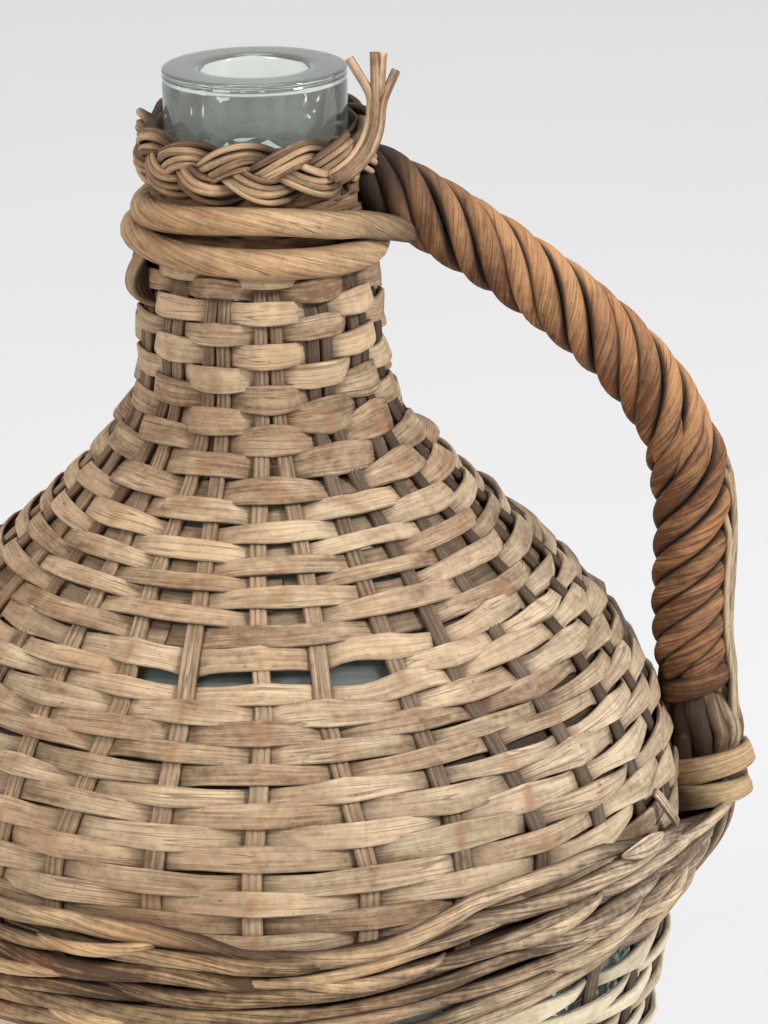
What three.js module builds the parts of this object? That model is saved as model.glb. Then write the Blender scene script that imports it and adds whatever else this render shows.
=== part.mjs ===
// A wicker demijohn: an open glass bottle with a basket woven round it and a roped handle.
// Millimetres, +Z up. The origin is the middle of the base's underside, on the bottle's axis.
// The handle is on the +X side.
import * as THREE from 'three';

// Glass bottle
const LOWER_H = 150; // floor to the widest ring
const SHOULDER_H = 140; // widest ring to the foot of the neck
const NECK_H = 83; // foot of the neck to the top of the lip
const BODY_R = 115.5; // widest glass
const HEEL_R = 93; // glass side carried down to the base
const HEEL_ROUND = 24;
const NECK_FOOT_R = 29;
const LIP_R = 26;
const LIP_ROUND = 3.5;
const BORE_R = 15;
const BORE_ROUND = 2;
const BORE_DEPTH = 40; // straight bore below the lip
const GLASS_WALL = 4;
const GLASS_BASE = 6;

// Basket: flat stakes on the glass, woven skins over them, thick rods round the waist
const FIT = 0.5; // clearance between one layer and the next
const STAKE_COUNT = 28;
const STAKE_W = 4.4;
const STAKE_T = 2.2;
const STAKE_PAIR_GAP = 1.0; // between the two stakes of a pair on the neck
const STAKE_TURN = 3.5; // degrees from the handle to the first pair, less half a pair
const WEAVE_T = 3.3;
const WAIST_RODS = 6;
const WAIST_ROD_D = 4.8;
const WAIST_RISE = 10; // top of the waist band above the widest ring
const WAIST_BUMP = 18; // half the stretch where the band goes round the handle's foot, degrees
const MAT_T = 9; // woven base
const FOOT_H = 13; // border round the base
const FOOT_W = 15;
const FOOT_INSET = 7; // inner edge of the border inside the glass's side

// Neck: two turns of a thick rod under a plaited collar with one loose end
const BINDING_D = 8;
const BINDING_PITCH = 8.6;
const BINDING_START = 15; // degrees round from the handle
const BINDING_SWEEP = 675;
const PLAIT_DROP = 13; // top of the plait below the lip
const PLAIT_H = 15.5;
const PLAIT_W = 9;
const TAIL_D = 5;
const TAIL_LEN = 16;
const TAIL_AT = -30; // degrees round from the handle

// Handle: a bent bow with strands laid round it, tied at its foot
const BOW_R = 5.2;
const HEAD_DIP = 31.2; // slope of the bow where it leaves the neck, degrees
const HEAD_PULL = 146.8;
const FOOT_PULL = 65.5;
const FOOT_LEAN = -22.9; // the bow dips in towards the shoulder above its foot
const FOOT_BURIED = 28; // length of the bow inside the waist band
const UPPER_STRANDS = 6;
const UPPER_D = 5.4;
const UPPER_LAY = 62; // length of one full turn
const UPPER_LEN = 113;
const LOWER_STRANDS = 6;
const LOWER_D = 5.9;
const LOWER_LAY = 57;
const STRAND_GAP = 1.2; // between the upper and lower strands
const TIE_D = 3;
const TIE_PITCH = 3.6;
const TIE_TURNS = 2;

const SEGMENTS = 28; // facets round the bottle
const OPEN = 1 / Math.cos(Math.PI / SEGMENTS); // lets a faceted inside clear what is round

const rad = THREE.MathUtils.degToRad;
const glassBottom = MAT_T + FIT;
const neckFoot = LOWER_H + SHOULDER_H;
const height = neckFoot + NECK_H;
const stakeIn = FIT;
const stakeOut = stakeIn + STAKE_T;
const weaveIn = stakeOut + FIT;
const weaveOut = weaveIn + WEAVE_T;
const waistTop = LOWER_H + WAIST_RISE;
const waistPitch = WAIST_ROD_D + FIT;
const waistLow = waistTop - WAIST_RODS * waistPitch;
const plaitTop = height - PLAIT_DROP;
const plaitLow = plaitTop - PLAIT_H;
const bindingRise = (BINDING_PITCH * BINDING_SWEEP) / 360;
const bindingLow = plaitLow - FIT - BINDING_D / 2 - bindingRise;
const weaveTop = bindingLow - BINDING_D / 2 - FIT;
const heelTop = glassBottom + HEEL_ROUND;
const stakeTop = plaitLow - 2 * FIT;

const glass = new THREE.MeshStandardMaterial({
  color: 0xbfd6cb, roughness: 0.05, metalness: 0, transparent: true, opacity: 0.45,
});
const cane = new THREE.MeshStandardMaterial({ color: 0xb09270, roughness: 0.85, metalness: 0 });
const stakeCane = new THREE.MeshStandardMaterial({ color: 0x94795c, roughness: 0.9, metalness: 0 });
const rodBark = new THREE.MeshStandardMaterial({ color: 0x8a6f55, roughness: 0.85, metalness: 0 });
const ropeBrown = new THREE.MeshStandardMaterial({ color: 0x84604a, roughness: 0.75, metalness: 0 });

const demijohn = new THREE.Group();

function add(name, geometry, material) {
  const mesh = new THREE.Mesh(geometry, material);
  mesh.name = name;
  demijohn.add(mesh);
}

const two = (n) => String(n).padStart(2, '0');
const vec2 = (x, y) => new THREE.Vector2(x, y);

// A curve given as a function, with a ring of the tube at each of the stops.
class Route extends THREE.Curve {
  constructor(at, stops) {
    super();
    this.at = at;
    this.stops = stops;
  }

  getPoint(u) {
    const k = u * (this.stops.length - 1);
    const i = Math.min(Math.floor(k), this.stops.length - 2);
    return this.at(THREE.MathUtils.lerp(this.stops[i], this.stops[i + 1], k - i));
  }

  getUtoTmapping(u) {
    return u;
  }
}

const spaced = (from, to, steps) =>
  Array.from({ length: steps + 1 }, (_, i) => from + ((to - from) * i) / steps);

function roundSection(diameter, sides) {
  const points = spaced(0, 2 * Math.PI, sides).slice(0, sides);
  return new THREE.Shape(points.map((a) => vec2(Math.cos(a), Math.sin(a)).multiplyScalar(diameter / 2)));
}

function sweep(route, section) {
  return new THREE.ExtrudeGeometry(section, {
    steps: route.stops.length - 1, extrudePath: route, bevelEnabled: false,
  });
}

function turned(points) {
  return new THREE.LatheGeometry(points, SEGMENTS).rotateX(Math.PI / 2);
}

// Least clear distance between stretches of a wound tube that are half a turn or more apart.
function leastGap(name, route, diameter, turns) {
  const points = route.getSpacedPoints(route.stops.length * 4);
  const apart = Math.ceil(points.length / turns / 2);
  let least = Infinity;
  for (let i = 0; i < points.length; i += 1) {
    for (let j = i + apart; j < points.length; j += 1) {
      least = Math.min(least, points[i].distanceTo(points[j]));
    }
  }
  console.log(`${name}: least gap to itself ${(least - diameter).toFixed(2)} mm`);
}

// Outside of the glass from the base to the lip, as radius against height.
const side = new THREE.Path();
side.moveTo(HEEL_R, 0);
side.bezierCurveTo(HEEL_R + 3.5, LOWER_H * 0.29, BODY_R, LOWER_H * 0.72, BODY_R, LOWER_H);
side.bezierCurveTo(
  BODY_R, LOWER_H + SHOULDER_H * 0.546, NECK_FOOT_R, neckFoot - SHOULDER_H * 0.318, NECK_FOOT_R, neckFoot,
);
side.bezierCurveTo(
  NECK_FOOT_R, neckFoot + NECK_H * 0.2, LIP_R, neckFoot + NECK_H * 0.3, LIP_R, neckFoot + NECK_H * 0.5,
);
side.lineTo(LIP_R, height);

function sideAt(z) {
  let low = 0;
  let high = 1;
  for (let i = 0; i < 40; i += 1) {
    const mid = (low + high) / 2;
    if (side.getPoint(mid).y < z) low = mid;
    else high = mid;
  }
  return low;
}

// A point that far out from the glass, square to its side.
function layerPoint(t, out) {
  const along = side.getTangent(t);
  return side.getPoint(t).add(vec2(along.y, -along.x).multiplyScalar(out));
}

// The basket's lower edge clears the foot border, though the side leans out there.
const stakeLow = FOOT_H + FIT + weaveOut * side.getTangent(sideAt(FOOT_H)).x;

// Where the glass's side would meet its underside, if its heel weren't rounded.
const heelEnd = layerPoint(sideAt(heelTop), 0);
const heelLean = side.getTangent(sideAt(heelTop));
const heelCorner = heelEnd.x - (HEEL_ROUND * heelLean.x) / heelLean.y;

// Every layer has its rings at the same places along the side, so the layers lie parallel.
const levels = [
  [stakeLow, 1], [heelTop, 3], [waistLow - FIT, 2], [waistTop + FIT, 9],
  [neckFoot, 1], [weaveTop, 1], [stakeTop, 0],
];
const stops = levels.flatMap(([z, steps], i) =>
  steps ? spaced(sideAt(z), sideAt(levels[i + 1][0]), steps).slice(0, steps) : [sideAt(z)]);
const between = (low, high) =>
  stops.filter((t) => t > sideAt(low) - 1e-6 && t < sideAt(high) + 1e-6);

function glassBottle() {
  const heel = new THREE.Path();
  const sole = heelCorner - HEEL_ROUND;
  heel.moveTo(sole, glassBottom);
  heel.quadraticCurveTo(heelCorner, glassBottom, heelEnd.x, heelEnd.y);
  const inner = new THREE.Path();
  const innerEnd = layerPoint(sideAt(heelTop), -GLASS_WALL);
  inner.moveTo(innerEnd.x, innerEnd.y);
  inner.quadraticCurveTo(heelCorner - GLASS_WALL, glassBottom + GLASS_BASE, sole, glassBottom + GLASS_BASE);
  const lip = new THREE.Path();
  lip.moveTo(LIP_R, height - LIP_ROUND);
  lip.absarc(LIP_R - LIP_ROUND, height - LIP_ROUND, LIP_ROUND, 0, Math.PI / 2, false);
  lip.absarc(BORE_R + BORE_ROUND, height - BORE_ROUND, BORE_ROUND, Math.PI / 2, Math.PI, false);
  const outside = between(heelTop, stakeTop).map((t) => layerPoint(t, 0));
  const inside = between(heelTop, neckFoot).map((t) => layerPoint(t, -GLASS_WALL)).reverse();
  return turned([
    vec2(0, glassBottom),
    ...heel.getPoints(3).slice(0, -1),
    ...outside,
    ...lip.getPoints(2),
    vec2(BORE_R, height - BORE_DEPTH),
    ...inside,
    ...inner.getPoints(3).slice(1),
    vec2(0, glassBottom + GLASS_BASE),
  ]);
}

// A woven skin between two heights: its outside going up, then its inside coming down.
function wovenSkin(low, high) {
  const range = between(low, high);
  const outside = range.map((t) => layerPoint(t, weaveOut));
  const inside = range.map((t) => layerPoint(t, weaveIn)).reverse();
  inside.forEach((p) => p.setX(p.x * OPEN));
  return turned([...outside, ...inside, outside[0].clone()]);
}

// One stake from the foot border to the collar. On the neck the stakes close up into pairs.
function stake(index) {
  const section = new THREE.Shape();
  section.moveTo(-STAKE_W / 2, -STAKE_T / 2);
  section.lineTo(STAKE_W / 2, -STAKE_T / 2);
  section.lineTo(STAKE_W / 2, STAKE_T / 2);
  section.lineTo(-STAKE_W / 2, STAKE_T / 2);
  const middle = (stakeIn + stakeOut) / 2;
  const at = (t) => {
    const p = layerPoint(t, middle);
    return new THREE.Vector3(p.x, 0, p.y);
  };
  const geometry = sweep(new Route(at, stops), section);
  const step = (2 * Math.PI) / STAKE_COUNT;
  const pairAngle = (STAKE_W + STAKE_PAIR_GAP) / 2 / (LIP_R + middle);
  const closeUp = (index % 2 ? -1 : 1) * (step / 2 - pairAngle);
  const spot = geometry.attributes.position;
  const p = new THREE.Vector3();
  const up = new THREE.Vector3(0, 0, 1);
  for (let i = 0; i < spot.count; i += 1) {
    p.fromBufferAttribute(spot, i);
    const share = THREE.MathUtils.smoothstep(p.z, neckFoot - SHOULDER_H * 0.4, neckFoot);
    p.applyAxisAngle(up, rad(STAKE_TURN) + (index + 0.5) * step + closeUp * share);
    spot.setXYZ(i, p.x, p.y, p.z);
  }
  return geometry;
}

// The bow, in the plane of the bottle's axis, from the neck binding to the waist band.
const bindingR = (LIP_R + weaveIn) / Math.cos(rad(7.5)) + BINDING_D / 2;
const bindingOut = bindingR + BINDING_D / 2;
const footSkin = layerPoint(sideAt(waistTop + FIT), weaveOut).x;
const footX = footSkin + FIT + TIE_D + FIT + BOW_R;
const footZ = waistTop + FIT + TIE_D + TIE_PITCH * TIE_TURNS;
const dip = rad(HEAD_DIP);
const headX = bindingOut + FIT + BOW_R * Math.sin(dip);
const headZ = bindingLow + bindingRise * 0.65;
const bow = new THREE.CubicBezierCurve3(
  new THREE.Vector3(headX, 0, headZ),
  new THREE.Vector3(headX + HEAD_PULL * Math.cos(dip), 0, headZ - HEAD_PULL * Math.sin(dip)),
  new THREE.Vector3(footX + FOOT_LEAN, 0, footZ + FOOT_PULL),
  new THREE.Vector3(footX, 0, footZ),
);
const bowLength = bow.getLength();
const bowEnd = footZ - waistTop + FOOT_BURIED;

function bowPoint(s) {
  if (s <= bowLength) return bow.getPointAt(s / bowLength);
  return new THREE.Vector3(footX, 0, footZ - (s - bowLength));
}

// A point beside the bow: round it from its outer side, over the front, to its inner side.
function besideBow(s, radius, turn) {
  const along = bow.getTangentAt(s / bowLength);
  const out = new THREE.Vector3(-along.z, 0, along.x).multiplyScalar(radius * Math.cos(turn));
  return bowPoint(s).add(out).add(new THREE.Vector3(0, -radius * Math.sin(turn), 0));
}

const upperR = BOW_R + FIT + UPPER_D / 2;
const lowerR = BOW_R + FIT + LOWER_D / 2;
const upperStart = FIT + (upperR + UPPER_D / 2) * Math.tan(dip);
const slant = (radius, lay) => Math.sin(Math.atan2(2 * Math.PI * radius, lay));
const upperEnd = upperStart + UPPER_LEN;
const lowerStart = upperEnd + STRAND_GAP
  + (UPPER_D / 2) * slant(upperR, UPPER_LAY) + (LOWER_D / 2) * slant(lowerR, LOWER_LAY);

// The lower strands stop where the bow comes too near the woven shoulder for them.
function lowerStop() {
  let s = bowLength;
  const room = lowerR + LOWER_D / 2 + 2 * FIT;
  while (s > lowerStart) {
    const p = bowPoint(s);
    const skin = layerPoint(sideAt(p.z - LOWER_D), weaveOut).x;
    if (p.x - room > skin) break;
    s -= 1;
  }
  return s;
}

function strand(index, count, radius, lay, from, to, steps) {
  const start = (2 * Math.PI * index) / count;
  const at = (s) => besideBow(s, radius, start + (2 * Math.PI * (s - from)) / lay);
  return new Route(at, spaced(from, to, steps));
}

// A rod of the waist band: its ends meet behind, opposite the handle, and it goes round the foot.
function waistRod(index) {
  const z = waistTop - (index + 0.5) * waistPitch;
  const bump = rad(WAIST_BUMP);
  const ends = Math.PI - (0.5 * WAIST_ROD_D) / BODY_R;
  const far = spaced(bump, ends, 12);
  const near = spaced(-bump, bump, 8).slice(1, -1);
  const clearSide = (layerPoint(sideAt(z), 0).x + weaveIn) / Math.cos((far[1] - far[0]) / 2);
  const clearFoot = footX + BOW_R + 2 * FIT;
  const at = (a) => {
    const swell = Math.abs(a) < bump ? 0.5 + 0.5 * Math.cos((Math.PI * a) / bump) : 0;
    const r = THREE.MathUtils.lerp(clearSide, clearFoot, swell) + WAIST_ROD_D / 2;
    return new THREE.Vector3(r * Math.cos(a), r * Math.sin(a), z);
  };
  const angles = [...far.map((a) => -a).reverse(), ...near, ...far];
  return sweep(new Route(at, angles), roundSection(WAIST_ROD_D, 6));
}

// A ring with a rounded section, flat below, standing on the floor.
function footBorder() {
  const inner = (heelCorner - FOOT_INSET) * OPEN;
  const outer = inner + FOOT_W;
  const round = Math.min(FOOT_H, FOOT_W) / 3;
  const ring = new THREE.Path();
  ring.moveTo(inner, 0);
  ring.lineTo(outer - round, 0);
  ring.absarc(outer - round, round, round, -Math.PI / 2, 0, false);
  ring.absarc(outer - round, FOOT_H - round, round, 0, Math.PI / 2, false);
  ring.lineTo(inner, FOOT_H);
  ring.lineTo(inner, 0);
  return turned(ring.getPoints(1));
}

function baseMat() {
  const r = heelCorner - FOOT_INSET - FIT;
  return turned([vec2(0, 0), vec2(r, 0), vec2(r, MAT_T), vec2(0, MAT_T)]);
}

function neckPlait() {
  const inner = (LIP_R + FIT) * OPEN;
  const points = spaced(0, 2 * Math.PI, 10).map((a) =>
    vec2(inner + (PLAIT_W / 2) * (1 + Math.cos(a)), plaitLow + (PLAIT_H / 2) * (1 + Math.sin(a))));
  return turned(points);
}

function plaitTail() {
  const r = LIP_R + FIT + PLAIT_W / 2;
  const lean = TAIL_D;
  const at = (s) => {
    const away = r + lean * s * s;
    const z = plaitTop + FIT + TAIL_LEN * s;
    return new THREE.Vector3(away * Math.cos(rad(TAIL_AT)), away * Math.sin(rad(TAIL_AT)), z);
  };
  return sweep(new Route(at, spaced(0, 1, 4)), roundSection(TAIL_D, 6));
}

function neckBinding() {
  const at = (degrees) => {
    const a = rad(BINDING_START + degrees);
    const z = bindingLow + (BINDING_PITCH * degrees) / 360;
    return new THREE.Vector3(bindingR * Math.cos(a), bindingR * Math.sin(a), z);
  };
  return new Route(at, spaced(0, BINDING_SWEEP, Math.round(BINDING_SWEEP / 15)));
}

function handleTie() {
  const r = BOW_R + FIT + TIE_D / 2;
  const at = (turn) => {
    const a = 2 * Math.PI * turn;
    const z = waistTop + FIT + TIE_D / 2 + FIT + TIE_PITCH * turn;
    return new THREE.Vector3(footX - r * Math.sin(a), -r * Math.cos(a), z);
  };
  return new Route(at, spaced(0, TIE_TURNS, TIE_TURNS * 24));
}

add('glass_bottle', glassBottle(), glass);
add('base_mat', baseMat(), cane);
add('foot_border', footBorder(), rodBark);
for (let i = 0; i < STAKE_COUNT; i += 1) add(`stake_${two(i + 1)}`, stake(i), stakeCane);
add('lower_weave', wovenSkin(stakeLow, waistLow - FIT), cane);
for (let i = 0; i < WAIST_RODS; i += 1) add(`waist_rod_${i + 1}`, waistRod(i), rodBark);
add('shoulder_weave', wovenSkin(waistTop + FIT, weaveTop), cane);

const binding = neckBinding();
leastGap('neck_binding', binding, BINDING_D, BINDING_SWEEP / 360);
add('neck_binding', sweep(binding, roundSection(BINDING_D, 6)), cane);
add('neck_plait', neckPlait(), cane);
add('plait_tail', plaitTail(), cane);

const bowRoute = new Route(bowPoint, spaced(0, bowLength + bowEnd, 26));
add('handle_bow', sweep(bowRoute, roundSection(2 * BOW_R, 8)), ropeBrown);
for (let i = 0; i < UPPER_STRANDS; i += 1) {
  const route = strand(i, UPPER_STRANDS, upperR, UPPER_LAY, upperStart, upperEnd, 24);
  if (i === 0) leastGap('upper_strand', route, UPPER_D, UPPER_LEN / UPPER_LAY);
  add(`upper_strand_${i + 1}`, sweep(route, roundSection(UPPER_D, 5)), ropeBrown);
}
const lowerEnd = lowerStop();
for (let i = 0; i < LOWER_STRANDS; i += 1) {
  const route = strand(i, LOWER_STRANDS, lowerR, LOWER_LAY, lowerStart, lowerEnd, 18);
  if (i === 0) leastGap('lower_strand', route, LOWER_D, (lowerEnd - lowerStart) / LOWER_LAY);
  add(`lower_strand_${i + 1}`, sweep(route, roundSection(LOWER_D, 5)), ropeBrown);
}
const tie = handleTie();
leastGap('handle_tie', tie, TIE_D, TIE_TURNS);
add('handle_tie', sweep(tie, roundSection(TIE_D, 6)), cane);

export default demijohn;
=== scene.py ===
import math

import bmesh
import bpy
import numpy as np
from mathutils import Matrix


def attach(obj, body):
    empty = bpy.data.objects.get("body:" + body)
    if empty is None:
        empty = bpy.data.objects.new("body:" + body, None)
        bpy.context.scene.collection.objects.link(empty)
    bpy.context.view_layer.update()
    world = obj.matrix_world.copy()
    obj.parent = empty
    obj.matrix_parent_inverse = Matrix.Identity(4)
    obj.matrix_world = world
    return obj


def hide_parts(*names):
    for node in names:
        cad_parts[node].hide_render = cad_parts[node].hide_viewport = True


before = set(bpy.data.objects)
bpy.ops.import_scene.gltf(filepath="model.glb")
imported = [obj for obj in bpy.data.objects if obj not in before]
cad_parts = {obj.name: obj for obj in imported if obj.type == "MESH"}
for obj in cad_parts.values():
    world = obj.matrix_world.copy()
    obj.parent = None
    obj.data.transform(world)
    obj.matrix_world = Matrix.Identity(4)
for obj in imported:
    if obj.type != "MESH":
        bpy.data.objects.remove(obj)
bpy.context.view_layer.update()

# The bottle: blown in pale aqua glass, with a straight thick-lipped neck and an open mouth.
# It is one hollow body, so its outline, outside and inside, is turned about the standing axis.
MM = 0.001
BODY_R, WIDEST_H = 115.5, 150
NECK_FOOT_R, NECK_FOOT = 29, 290
NECK_R, BORE_R = 26, 15
GLASS_WALL = 4
HEEL_TOP = 33.5


def bent(start, pull, push, end, steps):
    """Points in mm along one smooth bend."""
    t = np.linspace(0, 1, steps + 1)[:, None]
    a, b, c, d = (np.array(p, float) for p in (start, pull, push, end))
    return (1 - t) ** 3 * a + 3 * (1 - t) ** 2 * t * b + 3 * (1 - t) * t * t * c + t**3 * d


def shade(red, green, blue):
    """A colour as it is seen on a screen, for a material socket."""
    parts = [c / 255 for c in (red, green, blue)]
    return tuple(c / 12.92 if c < 0.043 else ((c + 0.055) / 1.055) ** 2.4 for c in parts) + (1.0,)


def put(tree, kind, sockets=None, **settings):
    """One node, with its settings, and its sockets set or linked."""
    node = tree.nodes.new(kind)
    for name, value in settings.items():
        setattr(node, name, value)
    for name, value in (sockets or {}).items():
        if isinstance(value, bpy.types.NodeSocket):
            tree.links.new(value, node.inputs[name])
        else:
            node.inputs[name].default_value = value
    return node


def finished(name, bm, material, slot, *nodes):
    """Turn a worked mesh into a piece of the part, in place of the plain solids it stands for."""
    bmesh.ops.recalc_face_normals(bm, faces=bm.faces)
    for face in bm.faces:
        face.smooth = True
    mesh = bpy.data.meshes.new(name)
    bm.to_mesh(mesh)
    bm.free()
    mesh.materials.append(material)
    piece = bpy.data.objects.new(name, mesh)
    bpy.context.scene.collection.objects.link(piece)
    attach(piece, "root")
    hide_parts(*nodes)


glass_side = np.vstack([
    bent((93, 0), (96.5, 43.5), (BODY_R, 108), (BODY_R, WIDEST_H), 60),
    bent((BODY_R, WIDEST_H), (BODY_R, 226.44), (NECK_FOOT_R, 245.48), (NECK_FOOT_R, NECK_FOOT), 90)[1:],
    bent((NECK_FOOT_R, NECK_FOOT), (NECK_FOOT_R, 306.6), (NECK_R, 314.9), (NECK_R, 331.5), 20)[1:],
    [(NECK_R, 345), (NECK_R, 358), (NECK_R, 363.6)],
])
side_lean = np.diff(glass_side, axis=0)
side_lean = np.vstack([side_lean[:1], side_lean[1:] + side_lean[:-1], side_lean[-1:]])
side_lean /= np.linalg.norm(side_lean, axis=1)[:, None]
above_heel = glass_side[:, 1] > HEEL_TOP
glass_inside = glass_side - GLASS_WALL * np.c_[side_lean[:, 1], -side_lean[:, 0]]
glass_inside = glass_inside[above_heel & (glass_side[:, 1] < NECK_FOOT)]
glass_outside = glass_side[above_heel]
lip_with_grooves = [
    (NECK_R, 364), (NECK_R, 368.8), (25.6, 369.3), (25.6, 369.8), (NECK_R, 370.2), (NECK_R, 370.9),
    (25.65, 371.2), (25.65, 371.5), (26.05, 371.8), (26.1, 372.2),
]
glass_outline = np.vstack([
    [(0, 9.5), (35, 9.5)],
    bent((69.7, 9.5), (85.7, 9.5), (94.2, 17.5), glass_outside[0], 8),
    glass_outside[1:-1],
    lip_with_grooves,
    bent((26.1, 372.2), (26.1, 372.7), (25.6, 373), (24.8, 373), 4)[1:],
    [(24.2, 373), (19.0, 373.1)],
    bent((17, 373), (15.9, 373), (BORE_R, 372.1), (BORE_R, 371), 4),
    [(BORE_R, 358), (BORE_R, 345), (BORE_R, 333), (18, 321), (22, 303)],
    glass_inside[::-1],
    bent(glass_inside[0], (90, 20), (84, 15.5), (69.7, 15.5), 6)[1:],
    [(35, 16.5), (0, 19)],
])
glass = bmesh.new()
glass_ring = [glass.verts.new((r * MM, 0, z * MM)) for r, z in glass_outline]
glass_edges = [glass.edges.new(pair) for pair in zip(glass_ring, glass_ring[1:])]
bmesh.ops.spin(glass, geom=glass_ring + glass_edges, cent=(0, 0, 0), axis=(0, 0, 1),
               angle=2 * math.pi, steps=120, use_merge=True)
bmesh.ops.remove_doubles(glass, verts=glass.verts, dist=1e-6)

aqua_glass = bpy.data.materials.new("aqua_glass")
aqua_glass.use_nodes = True
tree = aqua_glass.node_tree
where = put(tree, "ShaderNodeTexCoord").outputs["Object"]
ripple = put(tree, "ShaderNodeTexNoise", {"Vector": where, "Scale": 38.0, "Detail": 2.0})
bubbles = put(tree, "ShaderNodeTexVoronoi", {"Vector": where, "Scale": 170.0}, feature="F1")
bubble = put(tree, "ShaderNodeMapRange", {
    "Value": bubbles.outputs["Distance"], "From Min": 0.05, "From Max": 0.14, "To Min": 1.0, "To Max": 0.0})
uneven = put(tree, "ShaderNodeMath", {
    0: ripple.outputs["Fac"], 1: bubble.outputs["Result"]}, operation="ADD")
smear = put(tree, "ShaderNodeTexNoise", {"Vector": where, "Scale": 60.0, "Detail": 6.0, "Roughness": 0.7})
film = put(tree, "ShaderNodeMapRange", {"Value": smear.outputs["Fac"], "From Min": 0.36, "From Max": 0.66})
tint = put(tree, "ShaderNodeMix", {
    "Factor": film.outputs["Result"], 6: shade(249, 254, 250), 7: shade(232, 243, 230)}, data_type="RGBA")
dull = put(tree, "ShaderNodeMapRange", {
    "Value": smear.outputs["Fac"], "From Min": 0.35, "From Max": 0.75, "To Min": 0.01, "To Max": 0.05})
skin_of_glass = put(tree, "ShaderNodeBump", {
    "Height": uneven.outputs[0], "Strength": 0.1, "Distance": 0.0008})
shader = tree.nodes["Principled BSDF"]
shader.inputs["IOR"].default_value = 1.5
shader.inputs["Transmission Weight"].default_value = 0.905
shader.inputs["Sheen Weight"].default_value = 0.05
shader.inputs["Sheen Roughness"].default_value = 0.35
shader.inputs["Sheen Tint"].default_value = shade(214, 236, 220)
tree.links.new(tint.outputs[2], shader.inputs["Base Color"])
tree.links.new(dull.outputs["Result"], shader.inputs["Roughness"])
tree.links.new(skin_of_glass.outputs["Normal"], shader.inputs["Normal"])
finished("bottle", glass, aqua_glass, "bottle_glass", "glass_bottle")

# The base: willow sticks laid as spokes, with thin rods woven round them in rounds.
# The bottle stands on it. It is out of the picture, so it has the usual form.
SPOKES = 10
SPOKE_REACH = 85
BASE_MIDDLE = 4.6
ROUND_PITCH = 4.7
chance = np.random.default_rng(3)


def strands():
    """An empty mesh that holds strips and rods, with their length and girth as a map."""
    bm = bmesh.new()
    bm.loops.layers.uv.new("strand")
    bm.verts.layers.float.new("tone")
    bm.verts.layers.float.new("recess")
    return bm


def laid(bm, path, out, width, thick, tone, section, recess=0.0, roll=0.0, ring=False,
         shift=0.0, twist=0.0, groove=0.0, crisp=1.0):
    """Lay one strip or rod along a path in mm: a flat grid rolled up into its section.

    It is wide across and thick outwards. Recess is the painted shade on it, and below nought a rub stain
    instead; groove is painted shade at its sides.
    """
    path = np.asarray(path, float)
    count = len(path)
    sides = len(section)
    along_it = (width, thick, recess, roll, tone)
    width, thick, recess, roll, tone = (np.broadcast_to(np.asarray(v, float), count) for v in along_it)
    out = np.broadcast_to(np.asarray(out, float), (count, 3))
    if ring:
        along = np.vstack([path[1:], path[1:2]]) - np.vstack([path[-2:-1], path[:-1]])
    else:
        along = np.gradient(path, axis=0)
    along = along / np.linalg.norm(along, axis=1)[:, None]
    across = np.cross(along, out)
    across /= np.linalg.norm(across, axis=1)[:, None]
    out = np.cross(across, along)
    shape = np.array(section + section[:1], float)
    length = np.linalg.norm(np.diff(path, axis=0), axis=1).sum()
    facets = np.hypot(np.diff(shape[:, 0]) * width.mean(), np.diff(shape[:, 1]) * thick.mean())
    girth = np.r_[0, np.cumsum(facets / 2)]
    sheet = bmesh.ops.create_grid(bm, x_segments=count - 1, y_segments=sides, size=0.5, calc_uvs=True)
    grid = sheet["verts"]
    spot = np.array([v.co[:2] for v in grid]) + 0.5
    step, turn = np.rint(spot * (count - 1, sides)).astype(int).T
    x = shape[turn, 0] * width[step] / 2
    y = shape[turn, 1] * thick[step] / 2
    c = np.cos(roll[step])
    s = np.sin(roll[step])
    x, y = c * x - s * y, s * x + c * y
    place = (path[step] + across[step] * x[:, None] + out[step] * y[:, None]) * MM
    # Painted shade: the strand's own share, the darker underside and sides of its section, and its grooves
    at_sides = groove * np.clip(1.0 - 1.25 * shape[turn, 1], 0, 1) ** crisp
    shade_and_rub = np.minimum(recess[step] + shape[turn, 2] + at_sides, 1.0)
    tones = bm.verts.layers.float["tone"]
    recesses = bm.verts.layers.float["recess"]
    knot = {}
    for vert, co, dim, a, b in zip(grid, place, shade_and_rub, step.tolist(), turn.tolist()):
        vert.co = co
        vert[tones] = tone[a]
        vert[recesses] = dim
        knot[a, b] = vert
    for corner in range(sides):
        if section[corner][3]:
            for k in range(count - 1):
                bm.edges.get((knot[k, corner], knot[k + 1, corner])).smooth = False
    chart = bm.loops.layers.uv["strand"]
    for face in {f for v in grid for f in v.link_faces}:
        for loop in face.loops:
            u, v = loop[chart].uv
            round_it = girth[round(v * sides)] + u * length * twist
            loop[chart].uv = (u * length * MM + shift, round_it * MM)
    on_rim = (spot < 1e-6) | (spot > 1 - 1e-6)
    joined = on_rim[:, 1] | (on_rim[:, 0] & ring)
    seam = [v for v, met in zip(grid, joined) if met]
    ends = [v for v, met in zip(grid, on_rim[:, 0]) if met]
    bmesh.ops.remove_doubles(bm, verts=seam, dist=2e-6)
    if not ring:
        rim = {e for v in ends if v.is_valid for e in v.link_edges if e.is_boundary}
        bmesh.ops.holes_fill(bm, edges=list(rim), sides=0)


def rod(sides):
    """The section of a whole rod: across, outwards, painted shade, and whether that corner is crisp."""
    turns = [2 * math.pi * k / sides for k in range(sides)]
    return [(math.cos(t), math.sin(t), 0.0, 0) for t in turns]


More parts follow.
